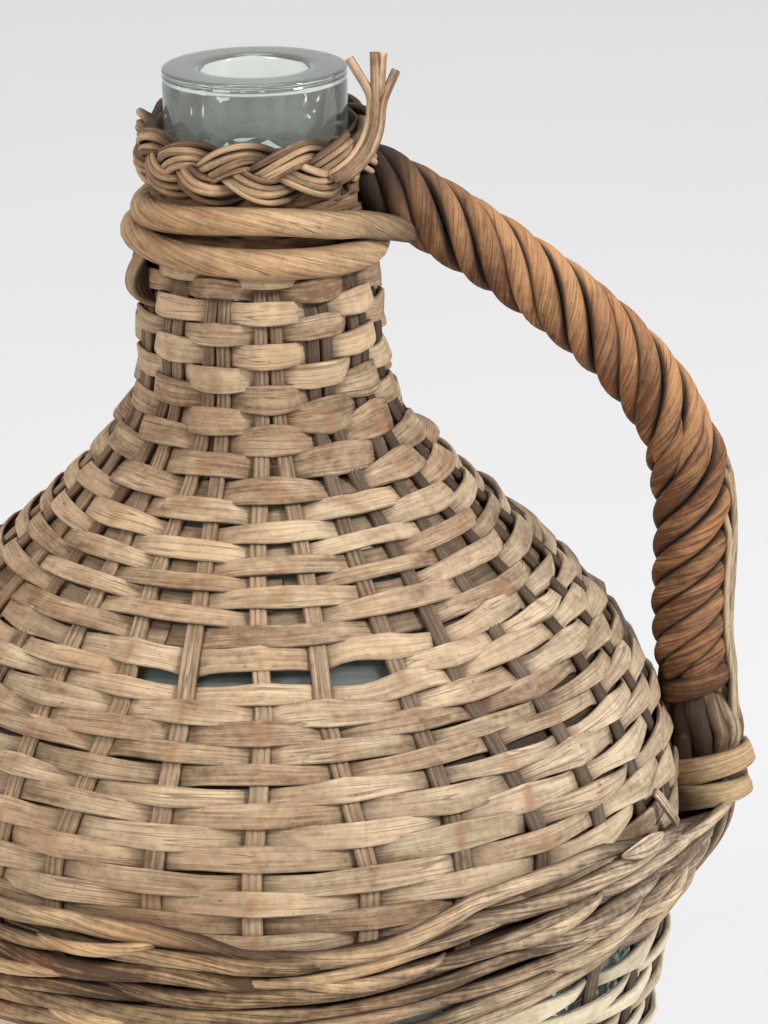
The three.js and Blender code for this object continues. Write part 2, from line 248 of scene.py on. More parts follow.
def grain_group():
    """Weathered willow: fibres along the strand, blotches, stains and specks, with painted shade in the
    tucks and painted light on the handle's side.
    """
    tree = bpy.data.node_groups.new("cane_grain", "ShaderNodeTree")
    for name in ("Pale", "Deep", "Stain"):
        tree.interface.new_socket(name=name, in_out="INPUT", socket_type="NodeSocketColor")
    for name in ("Stained", "Fibre", "PaintedShade", "SideLight"):
        tree.interface.new_socket(name=name, in_out="INPUT", socket_type="NodeSocketFloat")
    tree.interface.new_socket(name="Colour", in_out="OUTPUT", socket_type="NodeSocketColor")
    tree.interface.new_socket(name="Roughness", in_out="OUTPUT", socket_type="NodeSocketFloat")
    tree.interface.new_socket(name="Height", in_out="OUTPUT", socket_type="NodeSocketFloat")
    given = put(tree, "NodeGroupInput").outputs
    chart = put(tree, "ShaderNodeUVMap", uv_map="strand").outputs["UV"]
    place = put(tree, "ShaderNodeTexCoord").outputs["Object"]
    tone = put(tree, "ShaderNodeAttribute", attribute_name="tone").outputs["Fac"]
    tuck = put(tree, "ShaderNodeAttribute", attribute_name="recess").outputs["Fac"]

    def mottled(vector, scale, detail):
        return put(tree, "ShaderNodeTexNoise", {
            "Vector": vector, "Scale": scale, "Detail": detail, "Roughness": 0.6}).outputs["Fac"]

    def streaks(lengthwise, crosswise, detail):
        stretch = put(tree, "ShaderNodeMapping", {"Vector": chart, "Scale": (lengthwise, crosswise, 1)})
        return mottled(stretch.outputs[0], 1.0, detail)

    def ranged(value, low, high, least, most):
        return put(tree, "ShaderNodeMapRange", {
            "Value": value, "From Min": low, "From Max": high, "To Min": least, "To Max": most,
        }).outputs["Result"]

    def sums(kind, a, b):
        return put(tree, "ShaderNodeMath", {0: a, 1: b}, operation=kind).outputs[0]

    def blend(share, a, b, kind="MIX"):
        mix = put(tree, "ShaderNodeMix", {"Factor": share, 6: a, 7: b}, data_type="RGBA", blend_type=kind)
        return mix.outputs[2]

    fibre = streaks(45, 1200, 4)
    hair = streaks(120, 3800, 2)
    blotch = streaks(48, 130, 3)
    drift = streaks(12, 2, 1)
    split = streaks(16, 430, 1)
    mottle = mottled(place, 430.0, 4.0)
    speck = ranged(streaks(800, 1100, 1), 0.69, 0.75, 0, 1)

    # From the deep to the pale colour, warmer and cooler by turns along the strand
    level = sums("ADD", tone, ranged(blotch, 0.25, 0.75, -0.52, 0.52))
    level = sums("ADD", level, ranged(mottle, 0.3, 0.7, -0.16, 0.16))
    level = sums("ADD", level, sums("MULTIPLY", ranged(fibre, 0.3, 0.7, -0.45, 0.45), given["Fibre"]))
    colour = blend(sums("MAXIMUM", sums("MINIMUM", level, 1), 0), given["Deep"], given["Pale"])
    colour = blend(ranged(drift, 0.46, 0.66, 0, 0.8), colour, shade(249, 238, 232), "MULTIPLY")
    colour = blend(ranged(drift, 0.3, 0.48, 0.8, 0), colour, shade(232, 236, 236), "MULTIPLY")

    # Stains in patches, and where a strand is rubbed over a stake
    patch = ranged(mottled(place, 24.0, 4.0), 0.5, 0.7, 0, 1)
    stain = sums("MULTIPLY", patch, ranged(blotch, 0.35, 0.6, 0, 1))
    worn = ranged(mottled(place, 60.0, 2.0), 0.46, 0.62, 0, 1)
    rub = sums("MULTIPLY", ranged(tuck, -0.3, -0.02, 1, 0), worn)
    colour = blend(sums("MULTIPLY", sums("MAXIMUM", stain, rub), given["Stained"]), colour, given["Stain"])

    # Cracks along the fibres, and specks
    from_middle = sums("ABSOLUTE", sums("SUBTRACT", split, 0.5), 0)
    crack = sums("MULTIPLY", ranged(from_middle, 0.004, 0.02, 1, 0), ranged(blotch, 0.42, 0.6, 0, 1))
    crack = sums("MAXIMUM", crack, sums("MULTIPLY", ranged(hair, 0.26, 0.4, 0.7, 0), given["Fibre"]))
    colour = blend(sums("MULTIPLY", crack, 0.6), colour, shade(72, 50, 36))
    colour = blend(sums("MULTIPLY", speck, 0.55), colour, shade(66, 45, 32))

    # Painted light on the handle's side of the basket, paler and greyer, and painted shade in the tucks over
    # all
    # Painted light: paler and greyer towards the handle's side, where the light falls
    lit_side = ranged(put(tree, "ShaderNodeSeparateXYZ", {0: place}).outputs["X"], 0.0, 0.1, 0, 1)
    colour = put(tree, "ShaderNodeHueSaturation", {
        "Hue": 0.511, "Saturation": 0.74, "Value": 1.16,
        "Fac": sums("MULTIPLY", lit_side, given["SideLight"]), "Color": colour}).outputs[0]
    colour = blend(sums("MULTIPLY", sums("MAXIMUM", tuck, 0), given["PaintedShade"]), colour, shade(50, 36, 26))

    rough = ranged(fibre, 0.2, 0.8, 0.82, 0.56)
    fine = sums("ADD", sums("MULTIPLY", hair, 0.3), sums("MULTIPLY", mottle, 0.5))
    height = sums("ADD", sums("MULTIPLY", fibre, 0.6), fine)
    height = sums("SUBTRACT", height, sums("MULTIPLY", crack, 0.5))
    put(tree, "NodeGroupOutput", {"Colour": colour, "Roughness": rough, "Height": height})
    return tree


cane_grain = grain_group()


def cane(name, pale, deep, stain, stained, fibre, shade_and_rub, relief, side_light=0.0):
    """A willow finish of its own colours, over the shared grain."""
    material = bpy.data.materials.new(name)
    material.use_nodes = True
    tree = material.node_tree
    grain = put(tree, "ShaderNodeGroup", node_tree=cane_grain)
    for socket, value in (
        ("Pale", shade(*pale)), ("Deep", shade(*deep)), ("Stain", shade(*stain)),
        ("Stained", stained), ("Fibre", fibre), ("PaintedShade", shade_and_rub), ("SideLight", side_light),
    ):
        grain.inputs[socket].default_value = value
    bump = put(tree, "ShaderNodeBump", {
        "Height": grain.outputs["Height"], "Strength": relief, "Distance": 0.0004})
    shader = tree.nodes["Principled BSDF"]
    shader.inputs["Specular IOR Level"].default_value = 0.3
    tree.links.new(grain.outputs["Colour"], shader.inputs["Base Color"])
    tree.links.new(grain.outputs["Roughness"], shader.inputs["Roughness"])
    tree.links.new(bump.outputs["Normal"], shader.inputs["Normal"])
    return material


def circle(radius, height, angle):
    """Points in mm round the standing axis."""
    radius, height, angle = np.broadcast_arrays(np.asarray(radius, float), height, angle)
    return np.c_[radius * np.cos(angle), radius * np.sin(angle), height]


base_cane = cane("base_cane", (190, 165, 130), (132, 104, 76), (140, 98, 64), 0.5, 0.8, 0.5, 0.6)
base = strands()
upright = (0, 0, 1)
for spoke in range(SPOKES):
    reach = np.linspace(-SPOKE_REACH, SPOKE_REACH, 24)
    turn = math.pi * spoke / SPOKES
    height = BASE_MIDDLE + 0.5 * (-1) ** spoke + 0 * reach
    path = np.c_[reach * math.cos(turn), reach * math.sin(turn), height]
    laid(base, path, upright, 4.2, 3.0, chance.uniform(0.2, 0.7), rod(8), shift=spoke)
for row, radius in enumerate(np.arange(11, 90, ROUND_PITCH)):
    angle = np.linspace(0, 2 * np.pi, 141)
    weave = np.cos(SPOKES * angle) * (1 if row % 2 else -1)
    path = circle(radius, BASE_MIDDLE + 2.2 * weave, angle)
    tone = chance.uniform(0.2, 0.8) if radius < SPOKE_REACH else 0.5
    # Painted shade where a round dips low under the spokes
    laid(base, path, upright, 4.5, 3.2, tone, rod(8), 0.5 - 0.4 * weave, ring=True, shift=row * 2.3)
finished("woven_base", base, base_cane, "weave_cane", "base_mat")

# The foot border: whole willow rods twisted into a rope round the base, which the basket stands on.
# It is out of the picture too. The rods lie side by side and turn about the border's middle.
BORDER_RODS = 5
BORDER_R, BORDER_MIDDLE = 94.2, 6.3
BORDER_TWISTS = 14
border_wood = cane("border_wood", (176, 150, 118), (106, 82, 58), (138, 92, 58), 0.6, 0.8, 0.6, 0.7)
border = strands()
for strand in range(BORDER_RODS):
    angle = np.linspace(0, 2 * np.pi, 281)
    lay = BORDER_TWISTS * angle + 2 * np.pi * strand / BORDER_RODS
    path = circle(BORDER_R + 4.3 * np.cos(lay), BORDER_MIDDLE + 3.7 * np.sin(lay), angle)
    outward = circle(np.cos(lay), np.sin(lay), angle)
    # Painted shade on each rod where it turns to the inner side of the rope
    laid(border, path, outward, 6.0, 5.0, chance.uniform(0.25, 0.75), rod(10), 0.4 - 0.4 * np.cos(lay),
         ring=True, shift=strand * 1.7, twist=0.25)
finished("roped_foot_border", border, border_wood, "waist_rod_wood", "foot_border")

# The stakes: flat ribbed splits of willow that run up the glass from the foot to the collar.
# They stand evenly round the body, lean a little, and close up into pairs on the neck.
STAKES = 28
STAKE_STEP = 2 * np.pi / STAKES
FIRST_STAKE = math.radians(3.5)
PAIR_GAP = 1.95 / 30.5
STAKE_LIFT, NECK_LIFT = 3.3, 4.7
climb = np.r_[0, np.cumsum(np.linalg.norm(np.diff(glass_side, axis=0), axis=1))]
# How far a stake strays, in degrees, low and high on the shoulder. Those in front are as seen.
stake_lean = {
    17: (1.0, 1.6), 18: (-2.6, 3.0), 19: (-0.9, 1.2), 20: (-0.2, 1.8), 21: (2.9, -1.0),
    22: (3.5, 0.8), 23: (3.8, -1.7), 24: (3.0, -1.3), 25: (1.5, 1.8),
}
for stake in range(STAKES):
    stake_lean.setdefault(stake, tuple(chance.uniform(-1.4, 1.4, 2)))


def on_glass(up, lift):
    """Radius and height of a point lifted off the glass, and its lean, at a climb in mm up the side."""
    r, z = (np.interp(up, climb, glass_side[:, k]) for k in (0, 1))
    lean_r, lean_z = (np.interp(up, climb, side_lean[:, k]) for k in (0, 1))
    return r + lift * lean_z, z - lift * lean_r, lean_z, -lean_r


def laid_on_glass(bm, up, lift, angle, *strand, **finish):
    """Lay one strip or rod over the glass, with its flat side turned to it."""
    r, z, lean_r, lean_z = on_glass(up, lift)
    laid(bm, circle(r, z, angle), circle(lean_r, lean_z, angle), *strand, **finish)


def stake_turn(stake, z):
    """Where a stake stands round the bottle at a height, in radians."""
    low, high = stake_lean[stake]
    stray = np.radians(np.interp(z, [110, 175, 215, 252], [0, low, high, 0]))
    share = np.clip((z - 234) / 56, 0, 1)
    share = share * share * (3 - 2 * share)
    to_pair = (-1 if stake % 2 else 1) * (STAKE_STEP / 2 - PAIR_GAP)
    return FIRST_STAKE + (stake + 0.5) * STAKE_STEP + to_pair * share + stray


# Section corners: across, outwards, painted shade under it, at its sides and between the ribs, and whether
# the corner is crisp
ribbed_split = [
    (1, -0.5, 0.6, 0), (1, 0.3, 0.3, 1), (0.86, 0.8, 0.1, 1), (0.6, 1, 0, 0), (0.36, 0.7, 0.4, 0),
    (0.12, 1, 0, 0), (-0.12, 1, 0, 0), (-0.36, 0.7, 0.4, 0), (-0.6, 1, 0, 0), (-0.86, 0.8, 0.1, 1),
    (-1, 0.3, 0.3, 1), (-1, -0.5, 0.6, 0), (-0.6, -1, 0.8, 0), (0.6, -1, 0.8, 0),
]
stake_cane = cane("stake_cane", (190, 162, 130), (116, 90, 66), (134, 88, 56), 0.5, 0.9, 0.75, 0.8, 0.6)
# Stakes on the handle's side are painted darker, as shade; those in front are lighter
side_tone = {"right": -0.45, "front": 0.2}
for side, first in (("right", 25), ("back", 4), ("left", 11), ("front", 18)):
    group = strands()
    numbers = [(first + k) % STAKES for k in range(STAKES // 4)]
    for stake in numbers:
        up = np.linspace(15, 374, 76)
        lift = np.interp(up, [262, 300, 336, 349], [STAKE_LIFT, NECK_LIFT, NECK_LIFT, 1.75])
        z = on_glass(up, lift)[1]
        angle = stake_turn(stake, z)
        width = np.interp(z, [0, 180, 235, 290], [5.6, 5.4, 5.0, 3.7]) * (1 + 0.05 * np.sin(up / 23 + stake))
        thick = np.interp(z, [320, 330], [2.2, 1.8])
        on_right = np.clip((np.cos(angle) - 0.15) / 0.45, 0, 1)
        # Painted shade on the stakes: more up towards the neck, and much more on the handle's side
        stake_shade = np.interp(z, [240, 280], [0.0, 0.45]) + 0.9 * on_right
        tone = chance.uniform(0.2, 0.8) + side_tone.get(side, 0.0)
        laid_on_glass(group, up, lift, angle, width, thick, tone, ribbed_split, stake_shade, shift=stake * 1.31)
    nodes = ["stake_%02d" % (stake + 1) for stake in numbers]
    finished("stakes_" + side, group, stake_cane, "stake_cane", *nodes)

# The lower weave: pale split willow strips, worked over and under the stakes in open rows.
# Each row is one strip that ends tucked behind a stake.
LOWER_FIRST, LOWER_PITCH = 19.5, 6.2
FRONT_STAKE, PARTED_STAKE = 20, 21.5
# Section corners: across, outwards, painted shade under it and at its sides, and whether the corner is crisp
flat_split = [
    (1, -0.5, 0.7, 0), (1, 0.35, 0.45, 1), (0.9, 0.85, 0.1, 1), (0.45, 1, 0, 0), (-0.45, 1, 0, 0),
    (-0.9, 0.85, 0.1, 1), (-1, 0.35, 0.45, 1), (-1, -0.5, 0.7, 0), (-0.7, -1, 0.8, 0), (0.7, -1, 0.8, 0),
]
# From the top of a stake to behind the next: how far along, how far out, how wide, and how much painted
# shade, which below nought is a rub stain over the stake instead.
over_one = np.array([
    [0, 0.08, 0.3, 0.5, 0.7, 0.84, 0.95, 1], [1, 0.92, 0.66, 0.42, 0.1, -0.5, -0.95, -1],
    [1.12, 1.12, 1.08, 1.04, 1.12, 1.24, 1.34, 1.35], [-0.3, -0.1, 0, 0, 0, 0.25, 0.85, 0.9]])
over_pair = np.array([
    [0, 0.14, 0.27, 0.4, 0.52, 0.64, 0.76, 1], [1, 0.98, 0.9, 0.6, 0.12, -0.5, -0.95, -1],
    [1.15, 1.15, 1.12, 1.06, 1.04, 1.08, 1.2, 1.2], [-0.3, -0.1, 0, 0, 0, 0.15, 0.5, 0.25]])


def uneven_from_stake_to_stake(marks, knots, amount):
    """A small chance value at every stake, with straight runs between them."""
    return np.interp(marks, knots, chance.normal(0, amount, len(knots)))


def woven_row(bm, up, over, paired, pitch, thick, swing, tone, span=None, wander=0.4, parted=0.0):
    """One woven strip: up the side at a climb in mm, over every other stake or pair of stakes."""
    height = on_glass(np.array([up]), STAKE_LIFT)[1][0]
    places = [float(stake_turn(s, height)) for s in range(STAKES)]
    if paired:
        places = [(places[s] + places[s + 1]) / 2 for s in range(0, STAKES, 2)]
    count = len(places)
    first = (FRONT_STAKE // 2 if paired else FRONT_STAKE) + (0 if over else 1)
    begin = first + 1 + 2 * int(chance.integers(0, count // 2))
    begin, end = span or (begin, begin + count + 0.12)
    down = over_pair if paired else over_one
    back = down[:, ::-1] * [[-1], [1], [1], [1]] + [[1], [0], [0], [0]]
    beats = np.hstack([
        (back if (n - first) % 2 else down)[:, :-1] + [[n], [0], [0], [0]]
        for n in range(math.floor(begin), math.ceil(end))
    ])
    marks, wave, wide, shade_and_rub = beats[:, (beats[0] >= begin) & (beats[0] <= end)]
    number = np.arange(-2 * count, 4 * count + 1)
    angle = np.interp(marks, number, [places[n % count] + 2 * np.pi * (n // count) for n in number])

    # Rougher on the handle's side, drawn narrow between the stakes at both sides, full over the stakes
    ragged = np.clip((np.cos(angle) - 0.2) / 0.5, 0, 1)
    at_sides = np.clip((np.abs(np.cos(angle)) - 0.6) / 0.3, 0, 1)
    drawn = (not paired) * at_sides * np.clip(1 - np.abs(wave - 0.1), 0, 1)
    fuller = np.maximum((np.cos(angle) - 0.2) / 0.3, (up - 195) / 25)
    full = (not paired) * np.clip(fuller, 0, 1) * np.clip(wave, 0, 1)

    knots = np.arange(math.floor(marks[0]), math.ceil(marks[-1]) + 1)
    drift = sum(wander / k**0.7 * np.sin(k * angle + chance.uniform(0, 6.3)) for k in (1, 2, 3, 5, 8, 13))
    drift = drift + uneven_from_stake_to_stake(marks, knots, 0.34) * (1 + 0.8 * ragged)
    drift = drift + parted * np.exp(-(((marks % STAKES - PARTED_STAKE) / 0.5) ** 2))
    spread = 1 + uneven_from_stake_to_stake(marks, knots, 0.07) * (1 + ragged) + 0.03 * ragged
    tip = (uneven_from_stake_to_stake(marks, knots, 0.09) + chance.normal(0, 0.05)) * (1 + ragged)
    ends = np.interp(np.arange(len(marks)), [0, len(marks) - 1], [-0.35, 0.35])
    lift = np.interp(up, [262, 300], [STAKE_LIFT, NECK_LIFT]) + swing * wave + ends
    width = pitch * wide * spread * (1 + 0.13 * full - 0.3 * drawn)
    # More painted shade on the handle's side
    laid_on_glass(bm, up + drift, lift, angle, width, thick * (1 + 0.7 * ragged), tone, flat_split,
                  shade_and_rub * (1 + 0.6 * ragged), roll=tip, shift=chance.uniform(0, 40))


pale_weave = cane("pale_weave", (228, 212, 180), (168, 146, 114), (160, 124, 84), 0.45, 0.6, 0.8, 0.5, 0.4)
for band in range(6):
    group = strands()
    for row in range(band * 3, band * 3 + 3):
        up = LOWER_FIRST + LOWER_PITCH * row
        woven_row(group, up, row % 2 == 0, False, 4.7, 1.2, 1.85, chance.uniform(0.3, 0.9), wander=0.5)
    finished("lower_weave_%d" % (band + 1), group, pale_weave, "weave_cane", "lower_weave")

# The shoulder and neck weave: split willow strips, flat and weathered, over and under the stakes.
# On the neck they pass over pairs of stakes. One strip stops short and leaves a gap to the glass.
# Dark strips laid behind the weave are painted shade in its gaps, and a few splits are folded out at the
# neck's left.
tan_weave = cane("tan_weave", (212, 185, 150), (120, 93, 68), (156, 112, 76), 0.75, 0.6, 0.95, 0.7, 0.5)
# Each row's climb in mm, from the neck down.
neck_rows = [
    352.2, 346.8, 341.2, 335.6, 329.8, 323.6, 316.8, 309.6, 302.5, 295.0, 287.6, 280.5, 274.4, 268.9,
    263.8, 258.9, 254.0, 248.8, 243.0,
]
shoulder_rows = [
    236.4, 231.0, 225.8, 219.9, 214.1, 208.7, 203.6, 198.5, 193.2, 187.4, 181.6, 175.9, 170.5, 165.3, 160.4,
]
weave_rows = neck_rows + shoulder_rows
LAST_ROW = len(weave_rows) - 1
END_PITCH = 5.6
SHORT_ROW, SHORT_SPAN = 20, (21.94, 46.08)
parted_rows = {19: 1.6, 21: -2.1, 22: -1.0}
RIGHT, LEFT, FRONT = 0, math.pi, 1.5 * math.pi
# Where a folded split stands in degrees, how far it bulges, and its tone. The ones that bulge less are
# darker, with painted shade, as the shade inside the fold.
folded_splits = ((201, 45.6, 0.55), (200, 42.2, 0.3), (199, 38.8, 0.0), (198, 35.6, -0.3), (193, 38.5, -0.1))
for band in range(12):
    group = strands()
    for row in range(band * 3, min(band * 3 + 3, len(weave_rows))):
        up = weave_rows[row]
        paired = row < len(neck_rows)
        over = (row if paired else row + 1) % 2 == 0
        pitch = (weave_rows[row - 1] - weave_rows[row + 1]) / 2 if 0 < row < LAST_ROW else END_PITCH
        tone = np.interp(up, [160, 240, 300, 345], [0.58, 0.58, 0.54, 0.46]) + chance.normal(0, 0.2)
        fit = 1.09 if row > 26 else 1.01
        span = SHORT_SPAN if row == SHORT_ROW else None
        parted = parted_rows.get(row, 0.0)
        woven_row(group, up, over, paired, fit * pitch, 1.1, 1.8, tone, span, parted=parted)
        # Painted shade: dark strips behind the rows at the right and left, and in front too lower down
        for middle in (RIGHT, LEFT) if row < 22 else (RIGHT, LEFT, FRONT):
            behind = np.linspace(middle - 0.95, middle + 0.85, 28)
            laid_on_glass(group, up + 0.5 * pitch, 1.0, behind, 1.15 * pitch, 0.8, 0.0, flat_split, 0.9,
                          shift=60.0 + row)
    if band == 0:
        for turned, bulge, tone in folded_splits:
            reach, high = bent((32.5, 325.5), (36, 321.5), (bulge, 311.5), (31, 307.5), 16).T
            angle = math.radians(turned)
            path = circle(reach, high, angle)
            laid(group, path, circle(1, 0, angle)[0], 6.0, 1.9, tone, flat_split, 0.5 - tone, shift=bulge)
    finished("shoulder_weave_%02d" % (band + 1), group, tan_weave, "weave_cane", "shoulder_weave")

# The waist band: ten whole willow rods, each over about three stakes and then tucked in by one.
# Dark flat strips line them from behind, as painted shade. At the handle the rods bulge out over its foot.
# Short rods, a slant-cut rod end and a split stake end lie loose among them.
WAIST_FIRST, WAIST_PITCH = 129.6, 3.5
TOP_LEVEL = 9
COURSE_FOOT, COURSE_HEIGHT = 130, 7
waist_wood = cane("waist_wood", (222, 186, 140), (96, 70, 48), (160, 98, 60), 0.75, 1.0, 1.0, 1.0, 1.0)
# Degrees from the front, and how far the top rods rise and the bottom rods climb there, in mm.
crest_turn = [-90, -38, -17, -5, 3, 13, 26, 37, 50, 61, 70, 90, 108, 128]
crest_rise = [0, 3, 1, -4, -4, -2, 4, 5, 3, 0, -6, -12, -8, 0]
lower_turn = [10, 40, 65, 85, 110]
lower_rise = [0, 5, 7, 4, 0]
# A short rod's start and reach in degrees, and its climb.
short_rods = (
    (-122, 17, 157), (-121, 14, 137), (-88, 20, 149), (-64, 22, 152), (-50, 18, 146), (-33, 20, 141),
    (-140, 25, 147), (40, 24, 152), (100, 30, 140), (200, 28, 150),
)
course_nodes = ((6,), (5,), (4,), (3,), (2, 1))
for course, numbers in enumerate(course_nodes):
    group = strands()
    for level in (2 * course, 2 * course + 1):
        angle = np.linspace(0, 2 * np.pi, 281)
        lay = 7 * angle + 2.25 * level
        lay = lay + sum(0.45 * np.sin(k * angle + chance.uniform(0, 6.3)) for k in (2, 3))
        wobble = sum(chance.uniform(0.1, 0.45) * np.sin(k * angle + chance.uniform(0, 6.3))
                     for k in (2, 3, 5, 8, 13, 19))
        from_front = np.degrees((angle + 1.5 * np.pi) % (2 * np.pi) - np.pi)
        from_handle = np.degrees((angle + np.pi) % (2 * np.pi) - np.pi)
        bulge = np.exp(-((from_handle / 13.0) ** 2)) * (3.0 + 1.05 * level)
        crest = np.interp(from_front, crest_turn, crest_rise) * (level / TOP_LEVEL) ** 2
        lower = np.interp(from_front, lower_turn, lower_rise) * (1 - level / TOP_LEVEL) ** 1.5
        tucked = (0.5 - 0.5 * np.cos(lay)) ** 2.2
        up = WAIST_FIRST + WAIST_PITCH * level + 1.3 * np.sin(lay) + wobble + crest + lower
        lift = 7.8 - 4.0 * tucked + 0.5 * np.sin(4 * angle + level) + bulge
        size = 1 + 0.15 * np.sin(2 * angle + 2 * level) + 0.05 * np.sin(17 * angle + level)
        size = size + chance.normal(0, 0.07) - 0.2 * np.exp(-((from_handle / 20.0) ** 2))
        # Painted shade where a rod tucks in behind a stake, and in the grooves at its sides
        laid_on_glass(group, up, lift, angle, 4.9 * size, 4.3 * size, chance.uniform(0.1, 0.95), rod(10),
                      np.clip(0.05 + 0.7 * tucked, 0, 1), ring=True, shift=chance.uniform(0, 40),
                      twist=0.1, groove=0.8)
    # A dark flat strip behind each course above the first, as painted shade in the gaps
    if course:
        angle = np.linspace(0, 2 * np.pi, 85)
        laid_on_glass(group, 131.4 + COURSE_HEIGHT * course, 1.3, angle, 7.8, 1.0, 0.1, flat_split, 0.7,
                      ring=True, shift=50.0 + course)
    for start, reach, low in short_rods:
        if (low - COURSE_FOOT) // COURSE_HEIGHT != course:
            continue
        angle = np.radians(np.linspace(start, start + reach, 18))
        arch = np.sin(np.linspace(0, np.pi, 18))
        up = low + 2 + np.linspace(-1.5, 1.5, 18) - 1.5 * arch
        # Painted shade at both ends, where a short rod goes in among the others
        shaded_ends = np.interp(arch, [0, 0.3], [0.6, 0])
        laid_on_glass(group, up, 6.5 + 3.4 * arch**0.5, angle, 4.2 * (0.55 + 0.45 * arch),
                      3.2 * (0.5 + 0.5 * arch), chance.uniform(0.5, 0.9), rod(9), shaded_ends,
                      shift=chance.uniform(0, 40), twist=0.15, groove=0.4)
    if course == len(course_nodes) - 1:
        along = np.linspace(0, 1, 12)
        leaf = np.sin(np.pi * along)
        angle = np.radians(-38.5 + 11 * along)
        laid_on_glass(group, 163.5 - 1.8 * along, 9.5 + 1.2 * leaf, angle, 1.4 + 4.6 * leaf,
                      1.2 + 1.4 * leaf, 0.5, rod(10), 0.1, shift=7.0)
        angle = np.radians(-26.5 + 4.4 * along)
        laid_on_glass(group, 172.5 - 12.0 * along, 8.2 + 1.5 * along, angle, 2.9, 1.7, 0.55, ribbed_split,
                      shift=11.0)
    nodes = ["waist_rod_%d" % k for k in numbers]
    finished("waist_course_%d" % (course + 1), group, waist_wood, "waist_rod_wood", *nodes)

# The neck binding: one thick peeled rod wound nearly twice round the neck under the collar.
# The two turns come together at the left, and the end runs down into the handle's head.
# Flat strips pack it out behind, darkened with painted shade.
END_STEPS = 14
peeled_rod = cane("peeled_rod", (212, 178, 136), (140, 106, 74), (154, 106, 66), 0.7, 1.0, 0.9, 0.9, 0.5)
binding = strands()
turned = np.linspace(15, 678, 166)
angle = np.radians(turned)
height = np.interp(
    turned, [15, 90, 180, 270, 345, 390, 450, 540, 590, 630, 660, 678],
    [325, 327, 327, 324.3, 321.8, 325, 333, 332.5, 335.5, 337.0, 334.6, 331.6])
radius = np.interp(
    turned, [15, 120, 180, 230, 270, 400, 500, 540, 600, 678],
    [33.6, 34.2, 35.6, 34.6, 33.8, 33.6, 33.2, 32.2, 33.4, 34.6])
smooth = np.ones(9) / 9
height, radius = (np.convolve(np.pad(v, 4, mode="edge"), smooth, mode="valid") for v in (height, radius))
path = circle(radius, height, angle)
straight_on = path[-1] + 3 * (path[-1] - path[-2])
into_handle = bent(path[-1], straight_on, (40, -11, 327.5), (46, -2, 324), END_STEPS)
path = np.vstack([path, into_handle[1:]])
outward = np.vstack([circle(1, 0, angle), np.broadcast_to((0.7, -0.7, 0.0), (END_STEPS, 3))])
step = np.arange(len(path))
thin = 1 - 0.25 * np.clip(step - len(path) + END_STEPS + 1, 0, END_STEPS) / END_STEPS
width = (8.4 + 0.5 * np.sin(step / 9)) * thin
# Painted shade on the end, where it runs in under the handle's head
shaded_end = np.interp(step, [len(path) - 18, len(path) - 4], [0, 0.8])
laid(binding, path, outward, width, 7.6 * thin, 0.55, rod(14), shaded_end, shift=3.0, twist=0.3, groove=0.35)
for ring in range(6):
    angle = np.linspace(0, 2 * np.pi, 113)
    radius = 28.9 + 0.7 * np.cos(14 * angle + math.pi * ring)
    height = 320.5 + 4.0 * ring + 0.4 * np.sin(3 * angle + ring)
    laid(binding, circle(radius, height, angle), circle(1, 0, angle), 4.4, 1.6, 0.2, flat_split, 0.35,
         ring=True, shift=20.0 + ring)
finished("neck_binding_rod", binding, peeled_rod, "binding_rod", "neck_binding")

# The collar: thin rods, four side by side, worked as a three-strand plait round the glass neck.
# It sits aslant, over a lining of flat strips darkened with painted shade.
# Its ends stand up at the handle side, bundled and then fanned.
COLLAR_R, COLLAR_H = 31, 350.9
COLLAR_SLANT = 1.9
PLAIT_LENGTH, PLAIT_RISE = 51, 4.9
plait_cane = cane("plait_cane", (204, 170, 132), (112, 84, 58), (148, 98, 60), 0.7, 0.9, 0.95, 0.8, 0.6)
collar = strands()
run = np.linspace(0, 2 * np.pi * COLLAR_R, 260)
angle = math.radians(-38) + run / COLLAR_R
for strand in range(3):
    lay = 2 * np.pi * run / PLAIT_LENGTH + 2 * np.pi * strand / 3 + 0.35 * np.sin(run / 23)
    rise = PLAIT_RISE * np.sin(lay)
    slope = PLAIT_RISE * 2 * np.pi / PLAIT_LENGTH * np.cos(lay)
    depth = 1.7 * np.sin(2 * lay)
    for side in (-1.5, -0.5, 0.5, 1.5):
        off = 1.95 * side / np.sqrt(1 + slope * slope)
        stray = 0.45 * np.sin(run / 8.5 + chance.uniform(0, 6.3))
        stray = stray + 0.3 * np.sin(run / 3.7 + chance.uniform(0, 6.3))
        radius = 31.2 + depth + 0.5 * (abs(side) < 1) + 0.5 * stray
        height = COLLAR_H + COLLAR_SLANT * np.sin(angle) + rise + off + stray
        path = circle(radius, height, angle - slope * off / COLLAR_R)
        width = 2.25 + 0.3 * np.sin(run / 11 + 2 * side)
        # Painted shade where a rod dips in under the others, and in the grooves at its sides
        laid(collar, path, circle(1, 0, angle), width, 2.5, chance.uniform(0.0, 1.0), rod(8),
             np.clip(0.25 - 0.4 * depth, 0, 1), shift=chance.uniform(0, 40), groove=1.0)
for ring in range(3):
    angle = np.linspace(0, 2 * np.pi, 113)
    radius = 28.3 + 0.3 * np.cos(14 * angle + math.pi * ring)
    height = 347.7 + 3.8 * ring + COLLAR_SLANT * np.sin(angle)
    laid(collar, circle(radius, height, angle), circle(1, 0, angle), 4.2, 1.0, 0.2, flat_split, 0.4,
         ring=True, shift=30.0 + ring)
finished("collar_plait", collar, plait_cane, "plait_cane", "neck_plait")
tail = strands()
stem = bent((21, -27, 346.5), (29.5, -23.5, 350.0), (33, -19.5, 356), (33.3, -18, 363.4), 12)
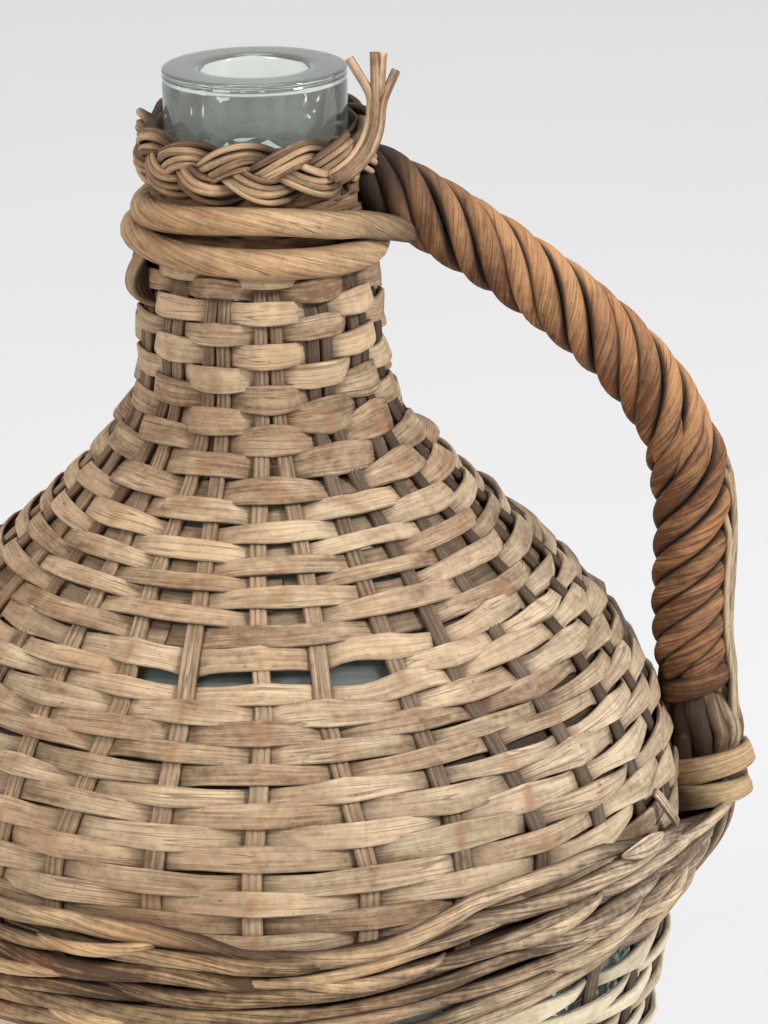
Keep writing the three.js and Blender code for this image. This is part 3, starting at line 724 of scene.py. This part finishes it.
for aside, pull, push, tip in (
    ((-1.3, 0.3, 0.7), (33.0, -17.5, 368), (29.5, -16, 371.5), (26.2, -15, 377.6)),
    ((-0.1, -1.1, 0.2), (33.4, -17.0, 369), (33.2, -16, 374), (33.2, -15, 379.2)),
    ((0.9, 0.9, 0.0), (34.6, -17.0, 369), (35.0, -15, 374), (35.6, -14, 378.6)),
    ((1.4, -0.5, -0.7), (35.2, -17.5, 367), (37.0, -15.5, 369), (39.2, -14, 373.7)),
):
    path = np.vstack([stem + aside, bent(stem[-1] + aside, pull, push, tip, 10)[1:]])
    width = np.linspace(2.9, 2.6, len(path))
    thick = np.linspace(2.8, 2.3, len(path))
    laid(tail, path, (0, -1, 0.3), width, thick, chance.uniform(0.3, 0.85), rod(8),
         shift=chance.uniform(0, 40), groove=0.3)
finished("collar_loose_ends", tail, plait_cane, "plait_cane", "plait_tail")

# The handle: a bent willow bow, with thick twisted skeins of willow laid round it like a rope.
# Six run from the neck to the bend. Six more are wound on below it, closer and closer, down to a last wrap.
# Thin spare rods run down its outer side, and stout ones painted dark with shade make the trunk of its foot.
SKEINS = 6
UPPER_TWIST = 62
red_willow = cane("red_willow", (192, 143, 99), (98, 64, 42), (150, 84, 48), 0.7, 1.0, 1.0, 1.0)
bow_line = np.vstack([
    bent((27.5, 342.4), (32, 339.7), (36.5, 337.0), (40.6, 334.36), 6),
    bent((40.6, 334.36), (166.2, 258.3), (107.7, 236.2), (130.6, 170.7), 90)[1:],
    bent((130.6, 168), (130.9, 158), (129.5, 146), (126.5, 134), 12),
])
bow_run = np.r_[0, np.cumsum(np.linalg.norm(np.diff(bow_line, axis=0), axis=1))]


def round_bow(run, off, turn):
    """A point off the bow's middle line, turned about it from the outer side towards the front."""
    x, z = (np.interp(run, bow_run, bow_line[:, k]) for k in (0, 1))
    ahead_x, ahead_z = (np.interp(run + 2, bow_run, bow_line[:, k]) for k in (0, 1))
    back_x, back_z = (np.interp(run - 2, bow_run, bow_line[:, k]) for k in (0, 1))
    tx, tz = ahead_x - back_x, ahead_z - back_z
    size = np.hypot(tx, tz)
    nx, nz = -tz / size, tx / size
    way = np.c_[np.cos(turn) * nx, -np.sin(turn), np.cos(turn) * nz]
    return np.c_[x, 0 * x, z] + np.asarray(off)[..., None] * way, way


run = np.linspace(2, bow_run[-1] - 1, 70)
bow = strands()
path = round_bow(run, 0 * run, 0 * run)[0]
width = np.interp(run, [190, 250, 270], [10.4, 9.5, 8])
# Painted shade over the bow rod, which lies under the skeins
laid(bow, path, (0, -1, 0), width, 10.2, 0.1, rod(12), 0.6, shift=5.0)
finished("handle_bow_rod", bow, red_willow, "handle_wood", "handle_bow")

skein_share = np.array([1.1, 0.92, 1.08, 0.94, 1.06, 0.9])
skein_stand = 2 * np.pi * (np.cumsum(skein_share) - skein_share / 2) / SKEINS
for bundle in range(3):
    group = strands()
    numbers = range(bundle, SKEINS, 3)
    for strand in numbers:
        run = np.linspace(1, 136, 90)
        turn = skein_stand[strand] + 2 * np.pi * (run - 14) / UPPER_TWIST
        turn = turn + 0.1 * np.sin(run / 17 + 2 * strand)
        off = np.interp(run, [0, 10, 116, 136], [6.2, 7.6, 7.8, 6.4]) + 0.25 * np.sin(run / 13 + strand)
        path, way = round_bow(run, off, turn)
        width = np.interp(run, [0, 12, 118, 136], [5.6, 7.0, 7.0, 5.4]) * skein_share[strand]
        # Painted light: a skein is paler where it turns to the bow's outer side, where the light falls, and
        # darker on the inner side
        tone = chance.uniform(0.15, 0.85) + 0.35 * np.cos(turn)
        # Painted shadow on the skeins' head, in the hollow by the collar
        shaded_head = np.interp(run, [8, 18, 36, 56], [1.0, 0.55, 0.15, 0.0])
        laid(group, path, way, width, 5.2 + 1.2 * skein_share[strand], tone, rod(16), shaded_head,
             shift=chance.uniform(0, 40), twist=0.35, groove=2.8, crisp=1.7)
    nodes = ["upper_strand_%d" % (k + 1) for k in numbers]
    finished("handle_upper_skeins_%d" % (bundle + 1), group, red_willow, "handle_wood", *nodes)

taper = [118, 132, 195, 205]
for bundle in range(2):
    group = strands()
    numbers = range(bundle, SKEINS, 2)
    for strand in numbers:
        run = np.linspace(118, 205, 100)
        twists = 2 * np.pi / np.interp(run, [118, 206], [70, 40])
        turn = 2 * np.pi * strand / SKEINS + np.cumsum(twists) * (run[1] - run[0])
        off = np.interp(run, taper, [6.4, 9.0, 8.8, 6.2]) + 0.3 * np.sin(run / 11 + strand)
        path, way = round_bow(run, off, turn)
        width = np.interp(run, taper, [3.2, 7.0, 7.0, 3.6])
        thick = np.interp(run, taper, [2.8, 6.4, 6.0, 3.4])
        # Painted light: paler on the bow's outer side, darker on its inner side
        tone = chance.uniform(0.05, 0.5) + 0.2 * np.cos(turn)
        laid(group, path, way, width, thick, tone, rod(16),
             shift=chance.uniform(0, 40), twist=0.3, groove=2.8, crisp=1.7)
    if bundle:
        turn = np.linspace(-1.3, 5.2, 44)
        off = 9.4 - 3.0 * np.abs(np.linspace(-1, 1, 44)) ** 6
        path, way = round_bow(194.5 + 12.5 * (turn + 1.2) / (2 * np.pi), off, turn)
        # The last wrap, with some painted shade
        laid(group, path, way, 7.6, 5.2, 0.2, rod(14), 0.25,
             shift=chance.uniform(0, 40), twist=0.2, groove=1.6)
    nodes = ["lower_strand_%d" % (k + 1) for k in numbers]
    finished("handle_lower_skeins_%d" % (bundle + 1), group, red_willow, "handle_wood", *nodes)

spare_rods = cane("spare_rods", (196, 166, 128), (106, 80, 56), (146, 96, 60), 0.6, 0.9, 0.9, 0.9, 0.5)
spare = strands()
# Where a rod begins and ends along the bow, its turn from the outer side, how far it twists,
# how far off the bow's middle it lies, its size and its tone. The darkest are painted shade.
for begin, end, outside, twisted, off, size, tone in (
    (124, 246, 2, 20, 11.2, 3.0, 0.75), (130, 246, 24, 12, 11.7, 2.8, 0.6),
    (140, 244, 42, -12, 11.8, 2.4, 0.9), (150, 242, -14, 16, 11.2, 2.4, 0.5),
    (160, 246, -40, 24, 10.8, 3.2, 0.7), (201, 248, 40, 8, 8.0, 5.2, 0.4),
    (202, 248, 72, 4, 7.8, 4.8, 0.25), (196, 248, 112, 6, 8.4, 6.6, 0.0),
    (204, 248, 148, 4, 10.4, 7.0, -0.1), (194, 248, 182, 2, 11.4, 7.0, -0.1),
    (197, 248, 10, 4, 7.8, 5.0, 0.3),
):
    run = np.linspace(begin, end, 40)
    foot = (off, off - 0.6, off - 2) if outside > 120 else (min(off, 8.0), 5.5, 4.5)
    reach = np.interp(run, [begin, begin + 14, 200, 218, 234, 246], [off - 4.5, off, off, *foot])
    reach = reach + 0.25 * np.sin(run / 9 + outside)
    path, way = round_bow(run, reach, np.radians(outside + twisted * (run - begin) / (end - begin)))
    # Painted shade on the darkest rods, the shaded trunk of the foot
    shade_and_rub = 0.92 if tone < 0.1 else 0.0
    laid(spare, path, way, size, size * 0.85, tone + chance.normal(0, 0.08), rod(9), shade_and_rub,
         shift=chance.uniform(0, 40), twist=0.2, groove=0.8)
# Rods bent over the foot: how far forward or back, how far out, size and tone. The darkest takes painted
# shade.
for depth, out, size, tone in (
    (-10.5, 133.5, 4.2, 0.45), (-6.5, 135.6, 3.6, -0.1), (-2.5, 137.0, 4.4, 0.35),
    (2.5, 136.6, 4.0, 0.5), (6.5, 135.0, 3.8, 0.2),
):
    top, bottom = (130.5, 0.8 * depth, 163), (out - 17, depth, 122)
    path = bent(top, (out + 2.5, depth, 152), (out + 1.5, depth, 138), bottom, 26)
    laid(spare, path, (1, 0, 0.3), size, 0.9 * size, tone, rod(9), 0.7 if tone < 0 else 0.05,
         shift=chance.uniform(0, 40), twist=0.15, groove=0.8)
finished("handle_spare_rods", spare, spare_rods, "handle_wood", "handle_bow")

# The handle's tie: split willow wound twice round the handle's foot, above the waist band.
# Two flat strips of it are drawn across the front and turned in at both ends.
FOOT_X = 128.2
tie_cane = cane("tie_cane", (204, 174, 134), (120, 90, 62), (150, 104, 62), 0.6, 0.9, 0.9, 0.9)
tie = strands()
turn = np.linspace(-1.2, 4 * np.pi - 1.3, 100)
share = turn / (2 * np.pi)
fold = np.exp(-((np.sin(turn / 2) / 0.3) ** 2))
round_foot = 10.4 + 0.5 * share + 1.6 * fold
slant = np.interp(share, [0, 2], [2.4, 5.6]) * np.cos(turn - 0.3)
path = np.c_[FOOT_X + round_foot * np.cos(turn), -round_foot * np.sin(turn), 154.6 + 3.2 * share + slant]
outward = np.c_[np.cos(turn), -np.sin(turn), 0.25 + 0 * turn]
width = 6.4 - 1.4 * fold + 0.5 * np.sin(3 * turn)
# Painted shade on the turns in front, under the strips drawn across them
shaded_front = 0.05 + 0.85 * np.clip(0.5 + 1.5 * np.sin(turn), 0, 1)
laid(tie, path, outward, width, 2.0 + 0.6 * fold, 0.5, flat_split, shaded_front, roll=0.2 * np.sin(1.5 * turn),
     shift=9.0)
for begin, pull, push, end, left, right in (
    ((117.5, -5, 150.0), (123.5, -19, 154.3), (146.0, -17, 157.0), (140.5, 6, 151.5), 8.8, 5.0),
    ((118.0, -5, 157.3), (124.0, -19, 162.8), (147.0, -17, 167.4), (140.5, 6, 162.0), 8.4, 6.4),
):
    path = bent(begin, pull, push, end, 26)
    outward = np.c_[path[:, 0] - FOOT_X, path[:, 1], 2.0 + 0 * path[:, 2]]
    width = np.linspace(left, right, len(path))
    laid(tie, path, outward, width, 2.6, 0.8, flat_split, 0.0, roll=np.linspace(-0.2, 0.3, len(path)),
         shift=13.0 + left)
finished("handle_foot_tie", tie, tie_cane, "tie_cane", "handle_tie")

# The stage: a wide pale floor of paper under soft studio light, and the camera of the photograph.
# The floor keeps the shadow near the object and fades into the pale backing far from it.
FLOOR_R = 6.0
SHADOW_REACH, FADE_REACH = 2.2, 5.0
backing_grey = shade(230, 230, 231)


def seen_plainly(tree):
    """One where the eye, a reflection or a look through glass meets the surface, else nought."""
    seen = put(tree, "ShaderNodeLightPath").outputs
    plain = put(tree, "ShaderNodeMath", {
        0: seen["Is Camera Ray"], 1: seen["Is Glossy Ray"]}, operation="MAXIMUM")
    return put(tree, "ShaderNodeMath", {
        0: plain.outputs[0], 1: seen["Is Transmission Ray"]}, operation="MAXIMUM").outputs[0]


floor = bmesh.new()
bmesh.ops.create_circle(floor, cap_ends=True, segments=96, radius=FLOOR_R)
floor_mesh = bpy.data.meshes.new("pale_floor")
floor.to_mesh(floor_mesh)
floor.free()
pale_paper = bpy.data.materials.new("pale_paper")
pale_paper.use_nodes = True
tree = pale_paper.node_tree
where = put(tree, "ShaderNodeTexCoord").outputs["Object"]
cloudy = put(tree, "ShaderNodeTexNoise", {"Vector": where, "Scale": 5.0, "Detail": 4.0})
paper = put(tree, "ShaderNodeMix", {
    "Factor": cloudy.outputs["Fac"], 6: shade(228, 228, 229), 7: shade(236, 236, 236)}, data_type="RGBA")
shader = tree.nodes["Principled BSDF"]
shader.inputs["Roughness"].default_value = 0.95
shader.inputs["Specular IOR Level"].default_value = 0.1
tree.links.new(paper.outputs[2], shader.inputs["Base Color"])
reach = put(tree, "ShaderNodeVectorMath", {0: where}, operation="LENGTH").outputs["Value"]
far = put(tree, "ShaderNodeMapRange", {
    "Value": reach, "From Min": SHADOW_REACH, "From Max": FADE_REACH}).outputs["Result"]
share = put(tree, "ShaderNodeMapRange", {"Value": far, "To Min": 0.6, "To Max": 1.0}).outputs["Result"]
shown = put(tree, "ShaderNodeMath", {0: seen_plainly(tree), 1: share}, operation="MULTIPLY")
fade = put(tree, "ShaderNodeMix", {
    "Factor": far, 6: shade(242, 242, 243), 7: backing_grey}, data_type="RGBA")
glow = put(tree, "ShaderNodeEmission", {"Color": fade.outputs[2], "Strength": 1.0})
both = put(tree, "ShaderNodeMixShader", {0: shown.outputs[0], 1: shader.outputs[0], 2: glow.outputs[0]})
tree.links.new(both.outputs[0], tree.nodes["Material Output"].inputs["Surface"])
floor_mesh.materials.append(pale_paper)
floor_piece = bpy.data.objects.new("pale_floor", floor_mesh)
bpy.context.scene.collection.objects.link(floor_piece)

world = bpy.data.worlds.new("studio")
bpy.context.scene.world = world
world.use_nodes = True
tree = world.node_tree
room = put(tree, "ShaderNodeBackground", {"Color": (1.0, 1.0, 1.0, 1), "Strength": 0.3})
backing = put(tree, "ShaderNodeBackground", {"Color": backing_grey, "Strength": 1.0})
both = put(tree, "ShaderNodeMixShader", {0: seen_plainly(tree), 1: room.outputs[0], 2: backing.outputs[0]})
tree.links.new(both.outputs[0], tree.nodes["World Output"].inputs["Surface"])


def stood(obj, place, right, up, ahead):
    """Stand a lamp or the camera at a place in m, looking ahead."""
    rows = [[right[k], up[k], -ahead[k], place[k]] for k in range(3)]
    obj.matrix_world = Matrix(rows + [[0, 0, 0, 1]])
    bpy.context.scene.collection.objects.link(obj)


for name, place, size, power in (
    ("key", (1.7, -1.0, 1.6), 0.5, 42),
    ("fill", (-1.4, -1.5, 1.7), 1.1, 27),
    ("top", (0.0, 0.3, 2.3), 1.2, 19),
):
    lamp = bpy.data.lights.new(name, "AREA")
    lamp.shape = "DISK"
    lamp.size = size
    lamp.energy = power
    ahead = np.array((0, 0, 0.2)) - np.array(place)
    ahead /= np.linalg.norm(ahead)
    right = np.cross(ahead, (0, 0, 1.0))
    right /= np.linalg.norm(right)
    stood(bpy.data.objects.new(name, lamp), place, right, np.cross(right, ahead), ahead)

SENSOR = 36
PHOTO_HEIGHT, FOCAL_PIXELS = 1024, 4000
eye = bpy.data.cameras.new("eye")
eye.sensor_fit = "VERTICAL"
eye.sensor_height = SENSOR
eye.lens = SENSOR * FOCAL_PIXELS / PHOTO_HEIGHT
eye.clip_end = 50
pitch, yaw, roll = np.radians([18.626, 1.789, -0.872])
ahead = np.array([math.sin(yaw) * math.cos(pitch), math.cos(yaw) * math.cos(pitch), -math.sin(pitch)])
level = np.array([math.cos(yaw), -math.sin(yaw), 0])
plumb = np.cross(level, ahead)
right = math.cos(roll) * level + math.sin(roll) * plumb
up = math.cos(roll) * plumb - math.sin(roll) * level
eye_piece = bpy.data.objects.new("eye", eye)
stood(eye_piece, (0, -1.1018, 0.6115), right, up, ahead)
bpy.context.scene.camera = eye_piece
bpy.context.scene.view_settings.view_transform = "Standard"
